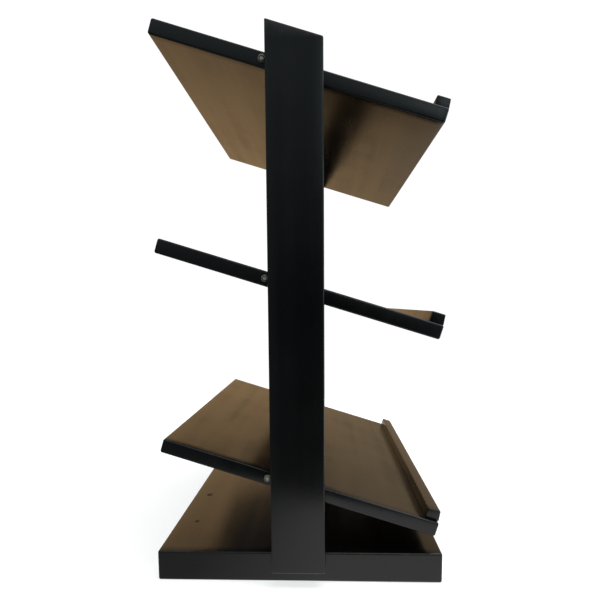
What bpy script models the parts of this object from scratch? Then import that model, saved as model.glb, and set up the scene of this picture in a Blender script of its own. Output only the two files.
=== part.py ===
"""Three-tier display rack for small bottles, in lacquered wood.

A thick base board carries two flat posts, whose feet are let into notches in its side edges.
Three boards slide from behind into sloping housings in the posts' inner faces, and round stops
on their side edges come to rest on the posts' rear faces. A low lip along each board's front
edge keeps the bottles on it.

Metres, +Z up. The origin is on the table under the middle of the base. The front, where the
boards are lowest, faces -Y, and X runs along the boards.
"""

import math

import bmesh
import bpy
from mathutils import Matrix, Vector

# Boards
BOARD_WIDTH = 0.450
BOARD_DEPTH = 0.300
BASE_THICK = 0.032
SHELF_THICK = 0.015
SLOPE = math.radians(17.3)

# Places of the shelf boards' centres: (y, z)
SHELF_PLACES = {
    "bottom": (-0.001, 0.102),
    "middle": (-0.002, 0.3065),
    "top": (-0.003, 0.514),
}

# Posts
POST_WIDTH = 0.055
POST_THICK = 0.020
POST_FOOT_Z = 0.016
POST_TOP_Z = 0.538
HOUSING_DEPTH = 0.005

# Lips
LIP_DEPTH = 0.015
LIP_HEIGHT = 0.0105
LIP_END_CLEARANCE = 0.001

# Stops: a clear rubber button held by a pan-head screw
BUTTON_RADIUS = 0.0038
BUTTON_HEIGHT = 0.0038
BUTTON_RIM_RADIUS = 0.0027
BUTTON_EDGE_HEIGHT = 0.0009
BUTTON_SEAT_RADIUS = 0.0024
BUTTON_SEAT_HEIGHT = 0.0015
BUTTON_ARC_POINTS = 6
SCREW_HEAD_RADIUS = 0.0020
SCREW_HEAD_HEIGHT = 0.0014
SCREW_SHANK_RADIUS = 0.0012
SCREW_TIP_RADIUS = 0.0003
SCREW_TIP_LENGTH = 0.003
SCREW_LENGTH = 0.016
RECESS_LENGTH = 0.0022
RECESS_WIDTH = 0.0005
RECESS_DEPTH = 0.0007

# Dowels
POST_DOWEL_RADIUS = 0.004
POST_DOWEL_LENGTH = 0.030
POST_DOWEL_Y = 0.016
POST_DOWEL_COVER = 0.006
LIP_DOWEL_RADIUS = 0.002
LIP_DOWEL_IN_LIP = 0.0070
LIP_DOWEL_IN_SHELF = 0.0075
LIP_DOWEL_SPACING = 0.160

# Edges, clearances and round pieces
BASE_ARRIS = 0.0020
BOARD_ARRIS = 0.0015
LIP_ARRIS = 0.0010
DOWEL_CHAMFER = 0.0005
ARRIS_SEGMENTS = 3
FIT_GAP = 0.0003
CUTTER_OVERRUN = 0.02
ROUND_STEPS = 20
SMOOTH_ANGLE = math.radians(35)

# What follows from the sizes above
POST_INNER_X = BOARD_WIDTH / 2 - HOUSING_DEPTH
POST_OUTER_X = POST_INNER_X + POST_THICK
POST_FOOT_CENTRE_Z = (POST_FOOT_Z + BASE_THICK) / 2
LIP_WIDTH = 2 * (POST_INNER_X - LIP_END_CLEARANCE)
STOP_Y = POST_WIDTH / 2 + FIT_GAP + BUTTON_RADIUS
SIDES = {"left": -1, "right": 1}


def clear_scene():
    for obj in list(bpy.data.objects):
        bpy.data.objects.remove(obj, do_unlink=True)


def material(name, colour, roughness, metallic=0.0):
    made = bpy.data.materials.new(name)
    made.use_nodes = True
    shader = made.node_tree.nodes["Principled BSDF"]
    shader.inputs["Base Color"].default_value = (*colour, 1.0)
    shader.inputs["Roughness"].default_value = roughness
    shader.inputs["Metallic"].default_value = metallic
    made.diffuse_color = (*colour, 1.0)
    return made


def add_object(name, shape, finish=None, parent=None):
    """Turns a bmesh into an object in the scene, placed by its parent's frame."""
    bmesh.ops.recalc_face_normals(shape, faces=shape.faces)
    mesh = bpy.data.meshes.new(name)
    shape.to_mesh(mesh)
    shape.free()
    obj = bpy.data.objects.new(name, mesh)
    bpy.context.scene.collection.objects.link(obj)
    if finish:
        mesh.materials.append(finish)
    if parent:
        obj.parent = parent
    return obj


def shade_round(obj):
    obj.data.shade_smooth()
    obj.data.set_sharp_from_angle(angle=SMOOTH_ANGLE)


def add_cutter(name, shape, parent=None):
    obj = add_object(name, shape, parent=parent)
    obj.hide_render = True
    obj.display_type = "WIRE"
    return obj


def cut(obj, cutter, crossing=False):
    """Cuts one object from another. A cutter made of boxes that cross needs crossing=True."""
    boolean = obj.modifiers.new("cut_" + cutter.name, "BOOLEAN")
    boolean.operation = "DIFFERENCE"
    boolean.solver = "EXACT"
    boolean.use_self = crossing
    boolean.object = cutter


def add_box(shape, low, high):
    """Adds a box to a bmesh, and returns its vertices."""
    size = Vector(high) - Vector(low)
    middle = (Vector(high) + Vector(low)) / 2
    place = Matrix.Translation(middle) @ Matrix.Diagonal((*size, 1.0))
    return bmesh.ops.create_cube(shape, size=1.0, matrix=place)["verts"]


def ease_edges(shape, radius):
    bmesh.ops.bevel(
        shape,
        geom=list(shape.edges),
        offset=radius,
        segments=ARRIS_SEGMENTS,
        profile=0.5,
        affect="EDGES",
    )


def board(name, size, radius, finish, parent=None):
    """A board centred on its own origin, with all its arrises eased."""
    shape = bmesh.new()
    half = Vector(size) / 2
    add_box(shape, -half, half)
    ease_edges(shape, radius)
    obj = add_object(name, shape, finish, parent)
    shade_round(obj)
    return obj


def turn(shape, profile, place, closed):
    """Turns a profile of (radius, height) points about +Z, then moves it to its place."""
    points = [shape.verts.new((radius, 0.0, height)) for radius, height in profile]
    ends = zip(points, points[1:] + points[:1]) if closed else zip(points, points[1:])
    edges = [shape.edges.new(pair) for pair in ends]
    bmesh.ops.spin(
        shape,
        geom=points + edges,
        cent=(0, 0, 0),
        axis=(0, 0, 1),
        angle=math.tau,
        steps=ROUND_STEPS,
        use_merge=True,
    )
    bmesh.ops.remove_doubles(shape, verts=shape.verts, dist=1e-6)
    bmesh.ops.transform(shape, matrix=place, verts=shape.verts)


def add_cylinder(shape, radius, low, high, place):
    """Adds a cylinder to a bmesh, along +Z from low to high before it is moved to its place."""
    middle = Matrix.Translation((0, 0, (low + high) / 2))
    bmesh.ops.create_cone(
        shape,
        cap_ends=True,
        segments=ROUND_STEPS,
        radius1=radius,
        radius2=radius,
        depth=high - low,
        matrix=place @ middle,
    )


def dowel(name, radius, low, high, place, finish, parent=None):
    """A round dowel with chamfered ends, along its place's +Z."""
    profile = (
        (0.0, low),
        (radius - DOWEL_CHAMFER, low),
        (radius, low + DOWEL_CHAMFER),
        (radius, high - DOWEL_CHAMFER),
        (radius - DOWEL_CHAMFER, high),
        (0.0, high),
    )
    shape = bmesh.new()
    turn(shape, profile, place, closed=False)
    obj = add_object(name, shape, finish, parent)
    shade_round(obj)
    return obj


def outward(side, x, y, z=0.0):
    """A frame at a point on one side of the rack, with its +Z pointing outward along X."""
    return Matrix.Translation((side * x, y, z)) @ Matrix.Rotation(side * math.pi / 2, 4, "Y")


def make_base(finish):
    base = board("base_board", (BOARD_WIDTH, BOARD_DEPTH, BASE_THICK), BASE_ARRIS, finish)
    base.location.z = BASE_THICK / 2
    shape = bmesh.new()
    half_width = POST_WIDTH / 2 + FIT_GAP
    for side in SIDES.values():
        near = side * (POST_INNER_X - FIT_GAP)
        far = side * (POST_OUTER_X + CUTTER_OVERRUN)
        low = (min(near, far), -half_width, POST_FOOT_Z - FIT_GAP)
        high = (max(near, far), half_width, BASE_THICK + CUTTER_OVERRUN)
        add_box(shape, low, high)
    cut(base, add_cutter("foot_notches", shape))
    return base


def make_post(name, side, finish):
    """A flat post whose top is cut at the slope of the shelf boards."""
    shape = bmesh.new()
    half_width = POST_WIDTH / 2
    inner = side * POST_INNER_X
    outer = side * POST_OUTER_X
    low = (min(inner, outer), -half_width, POST_FOOT_Z)
    high = (max(inner, outer), half_width, POST_TOP_Z)
    for vertex in add_box(shape, low, high):
        if vertex.co.z > POST_FOOT_Z and vertex.co.y > 0:
            vertex.co.z += POST_WIDTH * math.tan(SLOPE)
    ease_edges(shape, BOARD_ARRIS)
    post = add_object(name, shape, finish)
    shade_round(post)
    return post


def make_post_dowels(side_name, side, base, post, finish):
    """Two dowels that pin a post's foot to the base's side edge, and the holes they sit in."""
    outer_end = POST_OUTER_X - POST_DOWEL_COVER
    holes = bmesh.new()
    for end_name, y in (("front", -POST_DOWEL_Y), ("rear", POST_DOWEL_Y)):
        place = outward(side, outer_end, y, POST_FOOT_CENTRE_Z)
        name = f"{side_name}_post_{end_name}_dowel"
        dowel(name, POST_DOWEL_RADIUS, -POST_DOWEL_LENGTH, 0.0, place, finish)
        add_cylinder(holes, POST_DOWEL_RADIUS + FIT_GAP, -POST_DOWEL_LENGTH - FIT_GAP, FIT_GAP, place)
    cutter = add_cutter(f"{side_name}_dowel_holes", holes)
    cut(base, cutter)
    cut(post, cutter)


def shelf_frame(name, y, z):
    """An empty at a shelf board's centre, whose +Y is the way the board slides out, up and back."""
    frame = bpy.data.objects.new(f"{name}_shelf_slide", None)
    frame.location = (0.0, y, z)
    frame.rotation_euler.x = SLOPE
    bpy.context.scene.collection.objects.link(frame)
    return frame


def cut_housings(name, frame, posts):
    """Cuts the sloping housings that take the board's side edges, right across both posts."""
    half = Vector((BOARD_WIDTH, BOARD_DEPTH, SHELF_THICK)) / 2 + Vector((FIT_GAP,) * 3)
    shape = bmesh.new()
    add_box(shape, -half, half)
    cutter = add_cutter(f"{name}_housing", shape, frame)
    for post in posts:
        cut(post, cutter)


def make_lip(name, frame, shelf_holes, lacquer, beech):
    """The lip on a board's top face, flush with its front edge, with the dowels that hold it."""
    face = SHELF_THICK / 2
    lip_y = (LIP_DEPTH - BOARD_DEPTH) / 2
    lip = board(f"{name}_lip", (LIP_WIDTH, LIP_DEPTH, LIP_HEIGHT), LIP_ARRIS, lacquer, frame)
    lip.location = (0.0, lip_y, face + FIT_GAP + LIP_HEIGHT / 2)
    low = face - LIP_DOWEL_IN_SHELF
    high = face + LIP_DOWEL_IN_LIP
    radius = LIP_DOWEL_RADIUS + FIT_GAP
    lip_holes = bmesh.new()
    for index, place_name in enumerate(("left", "centre", "right")):
        place = Matrix.Translation(((index - 1) * LIP_DOWEL_SPACING, lip_y, 0.0))
        dowel(f"{name}_lip_{place_name}_dowel", LIP_DOWEL_RADIUS, low, high, place, beech, frame)
        add_cylinder(lip_holes, radius, low - FIT_GAP, high + FIT_GAP, place)
        add_cylinder(shelf_holes, radius, low - FIT_GAP, high + FIT_GAP, place)
    cut(lip, add_cutter(f"{name}_lip_holes", lip_holes, frame))


def button_profile():
    """The section of a rubber button: a dome with a flat rim round the sunk seat of its screw."""
    hole = SCREW_SHANK_RADIUS + FIT_GAP
    profile = [(hole, 0.0), (BUTTON_RADIUS, 0.0)]
    for index in range(BUTTON_ARC_POINTS):
        angle = index / (BUTTON_ARC_POINTS - 1) * math.pi / 2
        radius = BUTTON_RIM_RADIUS + (BUTTON_RADIUS - BUTTON_RIM_RADIUS) * math.cos(angle)
        height = BUTTON_EDGE_HEIGHT + (BUTTON_HEIGHT - BUTTON_EDGE_HEIGHT) * math.sin(angle)
        profile.append((radius, height))
    profile.append((BUTTON_SEAT_RADIUS, BUTTON_HEIGHT))
    profile.append((BUTTON_SEAT_RADIUS, BUTTON_SEAT_HEIGHT))
    profile.append((hole, BUTTON_SEAT_HEIGHT))
    return profile


def screw_profile():
    """The section of a pan-head screw, with the underside of its head at height 0."""
    crown = SCREW_HEAD_HEIGHT
    return (
        (0.0, -SCREW_LENGTH),
        (SCREW_TIP_RADIUS, -SCREW_LENGTH),
        (SCREW_SHANK_RADIUS, -SCREW_LENGTH + SCREW_TIP_LENGTH),
        (SCREW_SHANK_RADIUS, 0.0),
        (SCREW_HEAD_RADIUS, 0.0),
        (SCREW_HEAD_RADIUS, 0.5 * crown),
        (0.85 * SCREW_HEAD_RADIUS, 0.85 * crown),
        (0.55 * SCREW_HEAD_RADIUS, crown),
        (0.0, crown),
    )


def make_stop(name, frame, place, shelf_holes, rubber, steel):
    """A rubber button on a board's side edge, and the screw through it."""
    shape = bmesh.new()
    turn(shape, button_profile(), place, closed=True)
    shade_round(add_object(f"{name}_stop_button", shape, rubber, frame))

    seat = place @ Matrix.Translation((0, 0, BUTTON_SEAT_HEIGHT + FIT_GAP))
    shape = bmesh.new()
    turn(shape, screw_profile(), seat, closed=False)
    screw = add_object(f"{name}_stop_screw", shape, steel, frame)
    shade_round(screw)

    recess = bmesh.new()
    top = SCREW_HEAD_HEIGHT
    for length, width in ((RECESS_LENGTH, RECESS_WIDTH), (RECESS_WIDTH, RECESS_LENGTH)):
        low = (-length / 2, -width / 2, top - RECESS_DEPTH)
        high = (length / 2, width / 2, top + RECESS_DEPTH)
        add_box(recess, low, high)
    bmesh.ops.transform(recess, matrix=seat, verts=recess.verts)
    cut(screw, add_cutter(f"{name}_screw_recess", recess, frame), crossing=True)

    depth = SCREW_LENGTH + FIT_GAP
    add_cylinder(shelf_holes, SCREW_SHANK_RADIUS + FIT_GAP, -depth, CUTTER_OVERRUN, place)


def make_shelf(name, place, posts, finishes):
    """One tier: the board, its lip and its two stops, all on the empty that it slides with."""
    frame = shelf_frame(name, *place)
    size = (BOARD_WIDTH, BOARD_DEPTH, SHELF_THICK)
    shelf = board(f"{name}_shelf", size, BOARD_ARRIS, finishes["shelf"], frame)
    cut_housings(name, frame, posts)
    holes = bmesh.new()
    make_lip(name, frame, holes, finishes["lip"], finishes["beech"])
    along = (STOP_Y - frame.location.y) / math.cos(SLOPE)
    for side_name, side in SIDES.items():
        place = outward(side, BOARD_WIDTH / 2 + FIT_GAP, along)
        stop_name = f"{name}_{side_name}"
        make_stop(stop_name, frame, place, holes, finishes["rubber"], finishes["steel"])
    cut(shelf, add_cutter(f"{name}_shelf_holes", holes, frame))


def main():
    clear_scene()
    finishes = {
        "base": material("base_lacquer", (0.010, 0.010, 0.011), 0.32),
        "post": material("post_lacquer", (0.008, 0.008, 0.009), 0.30),
        "shelf": material("shelf_lacquer", (0.009, 0.009, 0.010), 0.28),
        "lip": material("lip_lacquer", (0.009, 0.009, 0.010), 0.30),
        "beech": material("beech_dowel", (0.48, 0.33, 0.19), 0.65),
        "rubber": material("clear_rubber", (0.42, 0.43, 0.36), 0.25),
        "steel": material("zinc_screw", (0.62, 0.62, 0.60), 0.30, 1.0),
    }
    base = make_base(finishes["base"])
    posts = []
    for side_name, side in SIDES.items():
        post = make_post(f"{side_name}_post", side, finishes["post"])
        make_post_dowels(side_name, side, base, post, finishes["beech"])
        posts.append(post)
    for name, place in SHELF_PLACES.items():
        make_shelf(name, place, posts, finishes)


main()
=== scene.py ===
"""Looks for the three-tier bottle rack: finer meshes, finishes, stage, light and camera.

Metres, +Z up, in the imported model's frame. The rack's front faces -Y, its boards run along X,
and the camera stands at its left side.
"""

import math

import bmesh
import bpy
from mathutils import Matrix, Vector, noise


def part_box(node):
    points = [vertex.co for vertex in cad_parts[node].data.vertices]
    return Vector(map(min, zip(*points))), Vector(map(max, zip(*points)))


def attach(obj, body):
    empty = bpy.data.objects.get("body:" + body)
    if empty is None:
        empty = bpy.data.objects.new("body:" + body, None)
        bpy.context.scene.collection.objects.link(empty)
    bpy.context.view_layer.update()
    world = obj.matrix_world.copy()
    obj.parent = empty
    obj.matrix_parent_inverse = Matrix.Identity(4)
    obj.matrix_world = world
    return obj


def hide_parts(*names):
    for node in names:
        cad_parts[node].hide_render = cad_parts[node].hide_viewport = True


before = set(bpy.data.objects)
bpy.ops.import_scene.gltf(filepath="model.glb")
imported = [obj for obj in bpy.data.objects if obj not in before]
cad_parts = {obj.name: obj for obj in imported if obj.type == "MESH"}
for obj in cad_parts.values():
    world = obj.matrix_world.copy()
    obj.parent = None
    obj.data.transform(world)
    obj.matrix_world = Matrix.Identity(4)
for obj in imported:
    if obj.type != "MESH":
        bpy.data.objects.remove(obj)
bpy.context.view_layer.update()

# Camera
CAMERA_PLACE = (-0.7631, -0.0278, 0.2915)
CAMERA_YAW = math.radians(2.162)
CAMERA_PITCH = math.radians(-5.96)
CAMERA_ROLL = math.radians(-0.395)
CAMERA_SENSOR = 36.0
CAMERA_LENS = 32.16
CAMERA_SHIFT = (-0.0076, 0.0999)

# The CAD model's driving sizes, which the finer meshes repeat
BOARD_WIDTH = 0.450
BOARD_DEPTH = 0.300
BASE_THICK = 0.032
SHELF_THICK = 0.015
SLOPE = math.radians(17.3)
SHELF_PLACES = {
    "bottom": (-0.001, 0.102),
    "middle": (-0.002, 0.3065),
    "top": (-0.003, 0.514),
}
POST_WIDTH = 0.055
POST_THICK = 0.020
POST_FOOT_Z = 0.016
POST_TOP_Z = 0.538
HOUSING_DEPTH = 0.005
LIP_WIDTH = 0.438
LIP_DEPTH = 0.015
LIP_HEIGHT = 0.0105
BUTTON_RADIUS = 0.0038
BUTTON_HEIGHT = 0.0038
BUTTON_SEAT_RADIUS = 0.0024
BUTTON_SEAT_HEIGHT = 0.0015
SCREW_HEAD_RADIUS = 0.0020
SCREW_HEAD_HEIGHT = 0.0014
RECESS_LENGTH = 0.0022
RECESS_WIDTH = 0.0005
RECESS_DEPTH = 0.0007
FIT_GAP = 0.0003
SIDES = {"left": -1, "right": 1}
POST_INNER_X = BOARD_WIDTH / 2 - HOUSING_DEPTH
POST_OUTER_X = POST_INNER_X + POST_THICK

# Surface detail of the finer meshes
BASE_ARRIS = 0.0022
SHELF_ARRIS = 0.0019
POST_ARRIS = 0.0015
LIP_ARRIS = 0.0011
ARRIS_HALF_STEPS = 3
GRID_SPACING = 0.010
WAVE_HEIGHT = 0.00006
WAVES_PER_METRE = 9.0
EDGE_CROWN = 0.0009
LIP_SINK = 0.0004
LIP_LEAN = 0.0012
CUTTER_OVERRUN = 0.02
TURN_STEPS = 48
SMOOTH_ANGLE = math.radians(35)

# Small scuffed dents in the base's lacquer: (place, length along X, width along Y)
BASE_DENTS = (
    ((-0.057, 0.130, BASE_THICK), 0.014, 0.011),
    ((-0.147, 0.126, BASE_THICK), 0.010, 0.008),
)
DENT_DEPTH = 0.0002
DENT_ROUGHNESS = 0.35

# Stage
FLOOR_NEAR_X = -0.49
FLOOR_FAR_X = 0.90
FLOOR_HALF_DEPTH = 1.2
FLOOR_GAP = 0.0002
FLOOR_COLOUR = (0.36, 0.36, 0.356)
FLOOR_MOTTLE_COLOUR = (0.38, 0.38, 0.376)
FLOOR_GLOW = 0.74
# Painted light on the floor, seen only in reflections: its glow at the front and at the rear, and the
# painted shade that fades it far to the rear
FLOOR_PAINTED_LIGHT_FRONT = 0.97
FLOOR_PAINTED_LIGHT_REAR = 0.40
FLOOR_PAINTED_SHADE_FAR_REAR = 0.15

# Studio light
KEY_PLACE = (0.0, -0.50, 1.9)
KEY_SIZE = (1.8, 1.6)
KEY_POWER = 70.0
ROOM_COLOUR = (0.80, 0.95, 1.0, 1.0)
ROOM_LOW = 0.02
ROOM_HIGH = 0.36
ROOM_SIDES = 0.15
ROOM_FRONT = 0.60
ROOM_PATCH = 1.30
ROOM_PATCH_DIRECTION = (-0.90, -0.26, 0.35)
OVERHEAD_Z = 1.7
OVERHEAD_HALF_WIDTH = 1.2
OVERHEAD_HALF_DEPTH = 1.4
OVERHEAD_GLOW = (1.7, 0.6)
WARM_COLOUR = (1.0, 0.65, 0.33)
PALE_WARM_COLOUR = (1.0, 0.72, 0.43)
WARM_CARD_X = 1.60
WARM_CARD_LOW = -1.10
WARM_CARD_HIGH = 1.60
WARM_CARD_HALF_DEPTH = 1.6
WARM_CARD_FRONT = 0.44
WARM_CARD_REAR = 0.71
WARM_CARD_TOP = 0.35
WARM_CARD_DARK_PLACE = ((WARM_CARD_X, 0.38, -0.08), 0.54, 0.50)
WARM_CARD_DARK = 0.05


def add_node(tree, kind, inputs=None, **settings):
    """Adds a shader node. An input is given a value, or is linked when it is another node's socket."""
    node = tree.nodes.new(kind)
    for key, value in settings.items():
        setattr(node, key, value)
    for key, value in (inputs or {}).items():
        if isinstance(value, bpy.types.NodeSocket):
            tree.links.new(value, node.inputs[key])
        else:
            node.inputs[key].default_value = value
    return node


def new_material(name):
    """An empty material with its output node: (material, tree, output)."""
    made = bpy.data.materials.new(name)
    made.use_nodes = True
    tree = made.node_tree
    tree.nodes.clear()
    return made, tree, add_node(tree, "ShaderNodeOutputMaterial")


def object_place(tree):
    """The point being shaded, in the object's own frame, which is the rack's."""
    return add_node(tree, "ShaderNodeTexCoord").outputs["Object"]


def grain(tree, vector, scale, detail=4.0, roughness=0.5):
    node = add_node(
        tree,
        "ShaderNodeTexNoise",
        {"Vector": vector, "Scale": scale, "Detail": detail, "Roughness": roughness},
    )
    return node.outputs["Fac"]


def ramp(tree, factor, low, high, start=0.0, end=1.0, smooth=False):
    """Maps a factor between start and end onto the range from low to high, clamped."""
    node = add_node(
        tree,
        "ShaderNodeMapRange",
        {"Value": factor, "From Min": start, "From Max": end, "To Min": low, "To Max": high},
        interpolation_type="SMOOTHSTEP" if smooth else "LINEAR",
    )
    return node.outputs["Result"]


def calculate(tree, operation, first, second):
    return add_node(tree, "ShaderNodeMath", {0: first, 1: second}, operation=operation).outputs[0]


def blend_colours(tree, factor, first, second):
    node = add_node(tree, "ShaderNodeMix", data_type="RGBA")
    tree.links.new(factor, node.inputs["Factor"])
    for key, value in (("A", first), ("B", second)):
        socket = [s for s in node.inputs if s.name == key and s.type == "RGBA"][0]
        if isinstance(value, bpy.types.NodeSocket):
            tree.links.new(value, socket)
        else:
            socket.default_value = (*value, 1.0)
    return [s for s in node.outputs if s.type == "RGBA"][0]


def spot_depth(tree, place, dents):
    """1 away from the given spots, falling smoothly to 0 at the middle of each."""
    depth = None
    for centre, length, width in dents:
        scale = (2 / length, 2 / width, 2 / length)
        offset = [-c * s for c, s in zip(centre, scale)]
        near = add_node(tree, "ShaderNodeMapping", {"Vector": place, "Scale": scale, "Location": offset})
        reach = add_node(
            tree, "ShaderNodeVectorMath", {0: near.outputs[0]}, operation="LENGTH"
        ).outputs["Value"]
        one = ramp(tree, reach, 0.0, 1.0, 0.2, 1.0, smooth=True)
        depth = calculate(tree, "MULTIPLY", depth, one) if depth else one
    return depth


def lacquer(name, grain_axis, rough_low, rough_high, dents=()):
    """Black satin lacquer sprayed on fine-grained wood, rubbed a little at its arrises."""
    made, tree, output = new_material(name)
    place = object_place(tree)
    stretch = [1.0, 1.0, 1.0]
    stretch[grain_axis] = 0.04
    along = add_node(tree, "ShaderNodeMapping", {"Vector": place, "Scale": stretch}).outputs[0]
    fibre = grain(tree, along, 320.0, 6.0, 0.6)
    bands = grain(tree, along, 60.0, 3.0)
    cloud = grain(tree, place, 14.0, 3.0)
    peel = grain(tree, place, 260.0, 2.0, 0.4)
    speck = grain(tree, place, 900.0, 1.0)

    worn = add_node(tree, "ShaderNodeAttribute", attribute_name="arris").outputs["Fac"]
    patchy = ramp(tree, grain(tree, place, 90.0, 4.0), 0.0, 1.0, 0.48, 0.72)
    worn = calculate(tree, "MULTIPLY", worn, patchy)
    colour = blend_colours(tree, cloud, (0.0016, 0.0016, 0.0017), (0.0036, 0.0034, 0.0032))
    colour = blend_colours(tree, worn, colour, (0.0120, 0.0105, 0.0090))
    colour = blend_colours(tree, ramp(tree, speck, 0.0, 1.0, 0.75, 0.81), colour, (0.022, 0.020, 0.018))
    sheen = calculate(tree, "MULTIPLY", bands, cloud)
    rough = ramp(tree, sheen, rough_low, rough_high, 0.12, 0.42)
    rough = calculate(tree, "ADD", rough, ramp(tree, worn, 0.0, 0.10))
    shader = add_node(
        tree,
        "ShaderNodeBsdfPrincipled",
        {"Base Color": colour, "Roughness": rough, "IOR": 1.46},
    )
    bump = add_node(
        tree, "ShaderNodeBump", {"Height": fibre, "Strength": 0.25, "Distance": 0.0001}
    )
    bump = add_node(
        tree,
        "ShaderNodeBump",
        {"Height": peel, "Strength": 0.35, "Distance": 0.0001, "Normal": bump.outputs[0]},
    )
    if dents:
        depth = spot_depth(tree, place, dents)
        scuffed = calculate(tree, "ADD", rough, ramp(tree, depth, DENT_ROUGHNESS, 0.0))
        tree.links.new(scuffed, shader.inputs["Roughness"])
        bump = add_node(
            tree,
            "ShaderNodeBump",
            {"Height": depth, "Strength": 1.0, "Distance": DENT_DEPTH, "Normal": bump.outputs[0]},
        )
    tree.links.new(bump.outputs[0], shader.inputs["Normal"])
    tree.links.new(shader.outputs[0], output.inputs["Surface"])
    return made


def clear_rubber():
    """Cloudy clear rubber, warm grey, with darker patches inside."""
    made, tree, output = new_material("clear_rubber")
    place = object_place(tree)
    cloud = grain(tree, place, 700.0, 3.0)
    patches = ramp(tree, cloud, 0.0, 1.0, 0.38, 0.62)
    colour = blend_colours(tree, patches, (0.13, 0.125, 0.095), (0.46, 0.44, 0.35))
    shader = add_node(
        tree,
        "ShaderNodeBsdfPrincipled",
        {
            "Base Color": colour,
            "Roughness": ramp(tree, cloud, 0.22, 0.38),
            "IOR": 1.41,
            "Transmission Weight": 0.25,
        },
    )
    tree.links.new(shader.outputs[0], output.inputs["Surface"])
    return made


def zinc_steel():
    """Dull zinc plating, chalky from handling, with fine scratches."""
    made, tree, output = new_material("zinc_steel")
    place = object_place(tree)
    scratch = grain(tree, place, 2500.0, 2.0)
    shader = add_node(
        tree,
        "ShaderNodeBsdfPrincipled",
        {
            "Base Color": blend_colours(tree, scratch, (0.86, 0.82, 0.66), (0.98, 0.94, 0.78)),
            "Metallic": 0.15,
            "Roughness": ramp(tree, scratch, 0.38, 0.55),
        },
    )
    tree.links.new(shader.outputs[0], output.inputs["Surface"])
    return made


def beech():
    """Bare turned beech."""
    made, tree, output = new_material("beech")
    place = object_place(tree)
    fleck = grain(tree, place, 900.0, 5.0)
    shader = add_node(
        tree,
        "ShaderNodeBsdfPrincipled",
        {
            "Base Color": blend_colours(tree, fleck, (0.36, 0.22, 0.12), (0.56, 0.40, 0.25)),
            "Roughness": ramp(tree, fleck, 0.55, 0.75),
        },
    )
    tree.links.new(shader.outputs[0], output.inputs["Surface"])
    return made


def lattice_places(length, radius):
    """Places along one side of a board: the steps round each arris, and an even grid between them."""
    half = length / 2
    inner = half - radius
    angles = [step / ARRIS_HALF_STEPS * math.pi / 4 for step in range(ARRIS_HALF_STEPS + 1)]
    arris = [inner + radius * math.tan(angle) for angle in angles]
    count = max(1, round(2 * inner / GRID_SPACING))
    grid = [inner * (2 * index / count - 1) for index in range(1, count)]
    return [-place for place in reversed(arris)] + grid + arris


def rounded_board(size, radius):
    """An all-quad board centred on the origin, with round arrises and gridded faces.

    The point attribute "arris" is 1 round the arrises and 0 on the faces.
    """
    half = Vector(size) / 2
    places = [lattice_places(length, radius) for length in size]
    shape = bmesh.new()
    arris = shape.verts.layers.float.new("arris")
    made = {}

    def point(index):
        if index not in made:
            sharp = Vector([places[axis][step] for axis, step in enumerate(index)])
            inner = Vector([max(radius - h, min(h - radius, c)) for c, h in zip(sharp, half)])
            out = sharp - inner
            made[index] = shape.verts.new(inner + out.normalized() * radius)
            off_face = sorted(abs(part) for part in out)[1]
            made[index][arris] = min(1.0, 2 * off_face / radius)
        return made[index]

    for axis in range(3):
        across = (axis + 1) % 3
        along = (axis + 2) % 3
        for end in (0, len(places[axis]) - 1):
            for i in range(len(places[across]) - 1):
                for j in range(len(places[along]) - 1):
                    corners = []
                    for step_i, step_j in ((0, 0), (1, 0), (1, 1), (0, 1)):
                        index = [end, end, end]
                        index[across] = i + step_i
                        index[along] = j + step_j
                        corners.append(point(tuple(index)))
                    shape.faces.new(corners if end else reversed(corners))
    return shape


def wave(shape):
    """Moves the surface in and out by a few hundredths of a millimetre, as a sprayed board's does."""
    shape.normal_update()
    moves = [v.normal * WAVE_HEIGHT * noise.noise(v.co * WAVES_PER_METRE) for v in shape.verts]
    for vertex, move in zip(shape.verts, moves):
        vertex.co += move


def add_piece(name, shape, finish, body, place=None):
    """Turns a bmesh into a piece that rides on a body, with its place worked into its mesh."""
    if place:
        bmesh.ops.transform(shape, matrix=place, verts=shape.verts)
    bmesh.ops.recalc_face_normals(shape, faces=shape.faces)
    mesh = bpy.data.meshes.new(name)
    shape.to_mesh(mesh)
    shape.free()
    mesh.materials.append(finish)
    mesh.shade_smooth()
    mesh.set_sharp_from_angle(angle=SMOOTH_ANGLE)
    piece = bpy.data.objects.new(name, mesh)
    bpy.context.scene.collection.objects.link(piece)
    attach(piece, body)
    return piece


def add_box(shape, low, high, place=None):
    size = Vector(high) - Vector(low)
    middle = (Vector(high) + Vector(low)) / 2
    box_place = Matrix.Translation(middle) @ Matrix.Diagonal((*size, 1.0))
    bmesh.ops.create_cube(shape, size=1.0, matrix=(place or Matrix()) @ box_place)


def cut(piece, shape):
    """Cuts a bmesh made of boxes from a piece, for good."""
    mesh = bpy.data.meshes.new("cutter")
    shape.to_mesh(mesh)
    shape.free()
    cutter = bpy.data.objects.new("cutter", mesh)
    bpy.context.scene.collection.objects.link(cutter)
    boolean = piece.modifiers.new("cut", "BOOLEAN")
    boolean.operation = "DIFFERENCE"
    boolean.solver = "EXACT"
    boolean.object = cutter
    evaluated = piece.evaluated_get(bpy.context.evaluated_depsgraph_get())
    result = bpy.data.meshes.new_from_object(evaluated)
    piece.modifiers.clear()
    piece.data = result
    result.set_sharp_from_angle(angle=SMOOTH_ANGLE)
    bpy.data.objects.remove(cutter)


def shelf_place(name):
    """The frame of a shelf board: its middle, with +Y along the slope, up and back."""
    y, z = SHELF_PLACES[name]
    return Matrix.Translation((0.0, y, z)) @ Matrix.Rotation(SLOPE, 4, "X")


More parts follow.
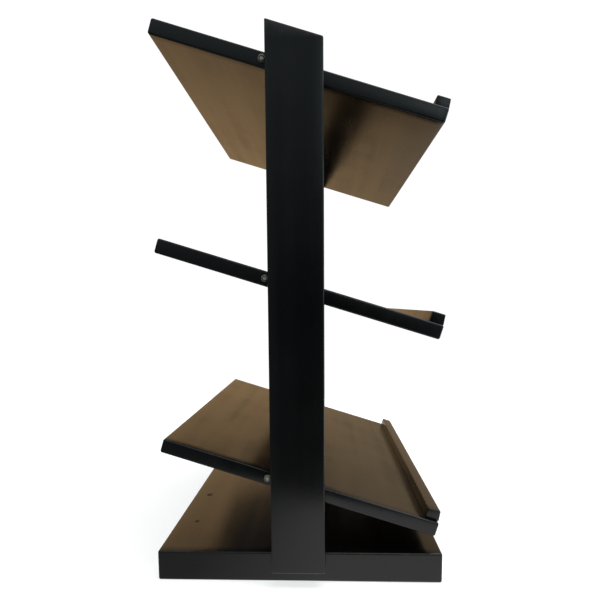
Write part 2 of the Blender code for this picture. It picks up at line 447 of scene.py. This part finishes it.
def make_base(finish):
    shape = rounded_board((BOARD_WIDTH, BOARD_DEPTH, BASE_THICK), BASE_ARRIS)
    wave(shape)
    place = Matrix.Translation((0.0, 0.0, BASE_THICK / 2))
    base = add_piece("lacquered_base_board", shape, finish, "stand", place)
    notches = bmesh.new()
    half_width = POST_WIDTH / 2 + FIT_GAP
    for side in SIDES.values():
        near = side * (POST_INNER_X - FIT_GAP)
        far = side * (POST_OUTER_X + CUTTER_OVERRUN)
        low = (min(near, far), -half_width, POST_FOOT_Z - FIT_GAP)
        high = (max(near, far), half_width, BASE_THICK + CUTTER_OVERRUN)
        add_box(notches, low, high)
    cut(base, notches)
    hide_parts("base_board")


def make_post(side_name, side, finish):
    """A post with its top cut at the boards' slope, and the housings that the boards slide in."""
    height = POST_TOP_Z - POST_FOOT_Z
    shape = rounded_board((POST_THICK, POST_WIDTH, height), POST_ARRIS)
    for vertex in shape.verts:
        if vertex.co.z >= height / 2 - POST_ARRIS:
            vertex.co.z += (vertex.co.y + POST_WIDTH / 2) * math.tan(SLOPE)
    wave(shape)
    middle_x = side * (POST_INNER_X + POST_OUTER_X) / 2
    place = Matrix.Translation((middle_x, 0.0, (POST_FOOT_Z + POST_TOP_Z) / 2))
    post = add_piece(f"lacquered_{side_name}_post", shape, finish, "stand", place)
    housings = bmesh.new()
    half = Vector((BOARD_WIDTH, BOARD_DEPTH, SHELF_THICK)) / 2 + Vector((FIT_GAP,) * 3)
    for name in SHELF_PLACES:
        add_box(housings, -half, half, shelf_place(name))
    cut(post, housings)
    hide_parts(f"{side_name}_post")


def make_shelf(name, finish):
    """A shelf board whose front and rear edges are slightly crowned."""
    shape = rounded_board((BOARD_WIDTH, BOARD_DEPTH, SHELF_THICK), SHELF_ARRIS)
    for vertex in shape.verts:
        reach = max(0.0, abs(vertex.co.y) / (BOARD_DEPTH / 2) - 0.95) / 0.05
        drop = (2 * vertex.co.z / SHELF_THICK) ** 2
        vertex.co.y -= math.copysign(EDGE_CROWN * reach * drop, vertex.co.y)
    wave(shape)
    place = shelf_place(name)
    shelf = add_piece(f"lacquered_{name}_shelf", shape, finish, f"{name}_tier", place)
    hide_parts(f"{name}_shelf")


def make_lip(name, finish):
    """A lip glued down on its board, its foot sunk a little to show no gap, its front leaning back."""
    height = LIP_HEIGHT + FIT_GAP + LIP_SINK
    shape = rounded_board((LIP_WIDTH, LIP_DEPTH, height), LIP_ARRIS)
    for vertex in shape.verts:
        if vertex.co.y < 0:
            vertex.co.y += LIP_LEAN * (vertex.co.z / height + 0.5)
    wave(shape)
    y = (LIP_DEPTH - BOARD_DEPTH) / 2
    z = SHELF_THICK / 2 - LIP_SINK + height / 2
    place = shelf_place(name) @ Matrix.Translation((0.0, y, z))
    lip = add_piece(f"lacquered_{name}_lip", shape, finish, f"{name}_tier", place)
    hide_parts(f"{name}_lip")


def turned(profile):
    """A solid turned about +Z from (radius, height) points, which start and end on the axis."""
    shape = bmesh.new()
    points = [shape.verts.new((radius, 0.0, height)) for radius, height in profile]
    edges = [shape.edges.new(pair) for pair in zip(points, points[1:])]
    bmesh.ops.spin(
        shape,
        geom=points + edges,
        cent=(0, 0, 0),
        axis=(0, 0, 1),
        angle=math.tau,
        steps=TURN_STEPS,
        use_merge=True,
    )
    bmesh.ops.remove_doubles(shape, verts=shape.verts, dist=1e-6)
    return shape


def arc(centre, radii, start, end, steps=8):
    """Points on a quarter of an ellipse, or any part of one, between two angles in degrees."""
    points = []
    for step in range(steps + 1):
        angle = math.radians(start + (end - start) * step / steps)
        points.append((centre[0] + radii[0] * math.cos(angle), centre[1] + radii[1] * math.sin(angle)))
    return points


def button_profile():
    """A domed button with a rolled rim round the seat of its screw."""
    rim = 0.0002
    crown_radius = BUTTON_SEAT_RADIUS + rim
    foot = 0.0006
    outside = arc((crown_radius, foot), (BUTTON_RADIUS - crown_radius, BUTTON_HEIGHT - foot), 0, 90, 12)
    roll = arc((crown_radius, BUTTON_HEIGHT - rim), (rim, rim), 90, 180, 4)
    seat = [(BUTTON_SEAT_RADIUS, BUTTON_SEAT_HEIGHT + rim), (BUTTON_SEAT_RADIUS - rim, BUTTON_SEAT_HEIGHT)]
    return [(0.0, 0.0), (BUTTON_RADIUS, 0.0)] + outside + roll[1:] + seat + [(0.0, BUTTON_SEAT_HEIGHT)]


def screw_profile():
    """A pan head, with its underside at height 0."""
    side = 0.4 * SCREW_HEAD_HEIGHT
    crown = arc((0.0, side), (SCREW_HEAD_RADIUS, SCREW_HEAD_HEIGHT - side), 0, 90, 10)
    return [(0.0, 0.0), (SCREW_HEAD_RADIUS, 0.0)] + crown[:-1] + [(0.0, SCREW_HEAD_HEIGHT)]


def make_stop(tier, side_name, rubber, steel):
    """A rubber button and its screw head, where the CAD button sits."""
    side = SIDES[side_name]
    low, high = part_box(f"{tier}_{side_name}_stop_button")
    middle = (low + high) / 2
    foot = low.x if side > 0 else high.x
    turn = Matrix.Rotation(side * math.pi / 2, 4, "Y")
    place = Matrix.Translation((foot - side * FIT_GAP, middle.y, middle.z)) @ turn
    body = f"{tier}_tier"
    button = add_piece(
        f"{tier}_{side_name}_rubber_stop", turned(button_profile()), rubber, body, place
    )
    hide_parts(f"{tier}_{side_name}_stop_button")
    seat = place @ Matrix.Translation((0.0, 0.0, BUTTON_SEAT_HEIGHT + FIT_GAP))
    screw = add_piece(
        f"{tier}_{side_name}_pan_screw", turned(screw_profile()), steel, body, seat
    )
    for length, width in ((RECESS_LENGTH, RECESS_WIDTH), (RECESS_WIDTH, RECESS_LENGTH)):
        recess = bmesh.new()
        low_corner = (-length / 2, -width / 2, SCREW_HEAD_HEIGHT - RECESS_DEPTH)
        high_corner = (length / 2, width / 2, SCREW_HEAD_HEIGHT + RECESS_DEPTH)
        add_box(recess, low_corner, high_corner, seat)
        cut(screw, recess)
    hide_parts(f"{tier}_{side_name}_stop_screw")


def make_rack():
    boards = lacquer("board_lacquer", 0, 0.18, 0.30)
    base = lacquer("base_lacquer", 0, 0.18, 0.28, BASE_DENTS)
    top = lacquer("top_shelf_lacquer", 0, 0.22, 0.31)
    posts = lacquer("post_lacquer", 2, 0.18, 0.28)
    rubber = clear_rubber()
    steel = zinc_steel()
    bare = beech()
    make_base(base)
    for side_name, side in SIDES.items():
        make_post(side_name, side, posts)
    for tier in SHELF_PLACES:
        make_shelf(tier, top if tier == "top" else boards)
        make_lip(tier, boards)
        for side_name in SIDES:
            make_stop(tier, side_name, rubber, steel)
    for name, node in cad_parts.items():
        if name.endswith("dowel"):
            node.material_slots[0].material = bare


def flat_mesh(name, corners):
    mesh = bpy.data.meshes.new(name)
    mesh.from_pydata(corners, [], [(0, 1, 2, 3)])
    obj = bpy.data.objects.new(name, mesh)
    bpy.context.scene.collection.objects.link(obj)
    return obj


def show_in_reflections_only(card):
    card.visible_camera = False
    card.visible_diffuse = False
    card.visible_shadow = False
    card.visible_transmission = False


def make_floor():
    """A pale floor, part matt and part glowing, so that the rack's shadow on it is faint.

    In reflections it shows only painted light: a glow brighter at the front and dimmer towards +Y, with
    painted shade fading it further far to the rear.
    """
    y = FLOOR_HALF_DEPTH
    z = -FLOOR_GAP
    corners = (
        (FLOOR_NEAR_X, -y, z),
        (FLOOR_FAR_X, -y, z),
        (FLOOR_FAR_X, y, z),
        (FLOOR_NEAR_X, y, z),
    )
    floor = flat_mesh("studio_floor", corners)
    made, tree, output = new_material("pale_floor")
    place = object_place(tree)
    depth = add_node(tree, "ShaderNodeSeparateXYZ", {0: place}).outputs["Y"]
    mottle = blend_colours(tree, grain(tree, place, 30.0), FLOOR_COLOUR, FLOOR_MOTTLE_COLOUR)
    matt = add_node(tree, "ShaderNodeBsdfDiffuse", {"Color": mottle})
    glow = add_node(tree, "ShaderNodeEmission", {"Strength": FLOOR_GLOW})
    seen = add_node(tree, "ShaderNodeAddShader", {0: matt.outputs[0], 1: glow.outputs[0]})
    # Painted light seen only in reflections: the floor glows brighter at the front and dimmer towards +Y,
    # and painted shade fades it further far to the rear
    near = ramp(tree, depth, FLOOR_PAINTED_LIGHT_FRONT, FLOOR_PAINTED_LIGHT_REAR, -0.02, 0.12)
    painted_rear_shade = ramp(tree, depth, 1.0, FLOOR_PAINTED_SHADE_FAR_REAR, 0.15, 0.60)
    painted_reflected_light = add_node(tree, "ShaderNodeEmission", {"Strength": calculate(tree, "MULTIPLY", near, painted_rear_shade)})
    path = add_node(tree, "ShaderNodeLightPath")
    both = add_node(
        tree,
        "ShaderNodeMixShader",
        {0: path.outputs["Is Camera Ray"], 1: painted_reflected_light.outputs[0], 2: seen.outputs[0]},
    )
    tree.links.new(both.outputs[0], output.inputs["Surface"])
    floor.data.materials.append(made)


def make_warm_card():
    """A warm card beyond the rack's right side, seen only in reflections.

    It is paler and dimmer towards the front, and dark in one place near the floor.
    """
    x = WARM_CARD_X
    y = WARM_CARD_HALF_DEPTH
    corners = (
        (x, -y, WARM_CARD_LOW),
        (x, y, WARM_CARD_LOW),
        (x, y, WARM_CARD_HIGH),
        (x, -y, WARM_CARD_HIGH),
    )
    card = flat_mesh("warm_card", corners)
    made, tree, output = new_material("warm_card")
    place = object_place(tree)
    parts = add_node(tree, "ShaderNodeSeparateXYZ", {0: place}).outputs
    across = ramp(tree, parts["Y"], WARM_CARD_FRONT, WARM_CARD_REAR, -0.30, 0.45)
    upward = ramp(tree, parts["Z"], 1.0, WARM_CARD_TOP, 0.85, 1.35)
    dark = spot_depth(tree, place, (WARM_CARD_DARK_PLACE,))
    glow = calculate(tree, "MULTIPLY", across, upward)
    glow = calculate(tree, "MULTIPLY", glow, ramp(tree, dark, WARM_CARD_DARK, 1.0))
    colour = blend_colours(tree, ramp(tree, parts["Y"], 0.0, 1.0, -0.5, 0.1), PALE_WARM_COLOUR, WARM_COLOUR)
    shader = add_node(tree, "ShaderNodeEmission", {"Color": colour, "Strength": glow})
    tree.links.new(shader.outputs[0], output.inputs["Surface"])
    card.data.materials.append(made)
    show_in_reflections_only(card)


def make_overhead_card():
    """What the arrises mirror overhead: a soft card, brighter towards the front."""
    x = OVERHEAD_HALF_WIDTH
    y = OVERHEAD_HALF_DEPTH
    z = OVERHEAD_Z
    card = flat_mesh("overhead_card", ((-x, -y, z), (-x, y, z), (x, y, z), (x, -y, z)))
    made, tree, output = new_material("overhead_card")
    depth = add_node(tree, "ShaderNodeSeparateXYZ", {0: object_place(tree)}).outputs["Y"]
    front, rear = OVERHEAD_GLOW
    shader = add_node(tree, "ShaderNodeEmission", {"Strength": ramp(tree, depth, front, rear, -0.3, 0.3)})
    tree.links.new(shader.outputs[0], output.inputs["Surface"])
    card.data.materials.append(made)
    show_in_reflections_only(card)


def make_world():
    """White to the camera; to everything else a dim room, brighter upwards, to the sides and in front."""
    world = bpy.data.worlds.new("studio_world")
    bpy.context.scene.world = world
    world.use_nodes = True
    tree = world.node_tree
    tree.nodes.clear()
    direction = add_node(tree, "ShaderNodeTexCoord").outputs["Generated"]
    parts = add_node(tree, "ShaderNodeSeparateXYZ", {0: direction}).outputs
    level = ramp(tree, parts["Z"], ROOM_LOW, ROOM_HIGH, 0.05, 0.6)
    away = add_node(tree, "ShaderNodeMath", {0: parts["Y"]}, operation="ABSOLUTE").outputs[0]
    level = calculate(tree, "ADD", level, ramp(tree, away, 0.0, ROOM_SIDES, 0.08, 0.24))
    level = calculate(tree, "ADD", level, ramp(tree, parts["Y"], ROOM_FRONT, 0.0, -0.90, -0.40))
    near = add_node(
        tree, "ShaderNodeVectorMath", {0: direction, 1: ROOM_PATCH_DIRECTION}, operation="DISTANCE"
    ).outputs["Value"]
    level = calculate(tree, "ADD", level, ramp(tree, near, ROOM_PATCH, 0.0, 0.03, 0.20, smooth=True))
    room = add_node(
        tree,
        "ShaderNodeBackground",
        {"Color": ROOM_COLOUR, "Strength": level},
    )
    white = add_node(tree, "ShaderNodeBackground", {"Color": (1.0, 1.0, 1.0, 1.0), "Strength": 1.05})
    path = add_node(tree, "ShaderNodeLightPath")
    mixed = add_node(
        tree,
        "ShaderNodeMixShader",
        {0: path.outputs["Is Camera Ray"], 1: room.outputs[0], 2: white.outputs[0]},
    )
    output = add_node(tree, "ShaderNodeOutputWorld")
    tree.links.new(mixed.outputs[0], output.inputs["Surface"])


def make_key_light():
    light = bpy.data.lights.new("overhead_softbox", "AREA")
    light.shape = "RECTANGLE"
    light.size, light.size_y = KEY_SIZE
    light.energy = KEY_POWER
    obj = bpy.data.objects.new("overhead_softbox", light)
    obj.location = KEY_PLACE
    obj.visible_camera = False
    obj.visible_glossy = False
    bpy.context.scene.collection.objects.link(obj)


def make_camera():
    lens = bpy.data.cameras.new("camera")
    lens.sensor_width = CAMERA_SENSOR
    lens.lens = CAMERA_LENS
    lens.shift_x, lens.shift_y = CAMERA_SHIFT
    lens.clip_start = 0.01
    camera = bpy.data.objects.new("camera", lens)
    turn = Matrix.Rotation(CAMERA_YAW - math.pi / 2, 4, "Z")
    tilt = Matrix.Rotation(CAMERA_PITCH + math.pi / 2, 4, "X")
    roll = Matrix.Rotation(CAMERA_ROLL, 4, "Z")
    camera.matrix_world = Matrix.Translation(CAMERA_PLACE) @ turn @ tilt @ roll
    bpy.context.scene.collection.objects.link(camera)
    bpy.context.scene.camera = camera


make_camera()
make_world()
make_floor()
make_warm_card()
make_overhead_card()
make_key_light()
make_rack()
bpy.context.scene.view_settings.view_transform = "Standard"
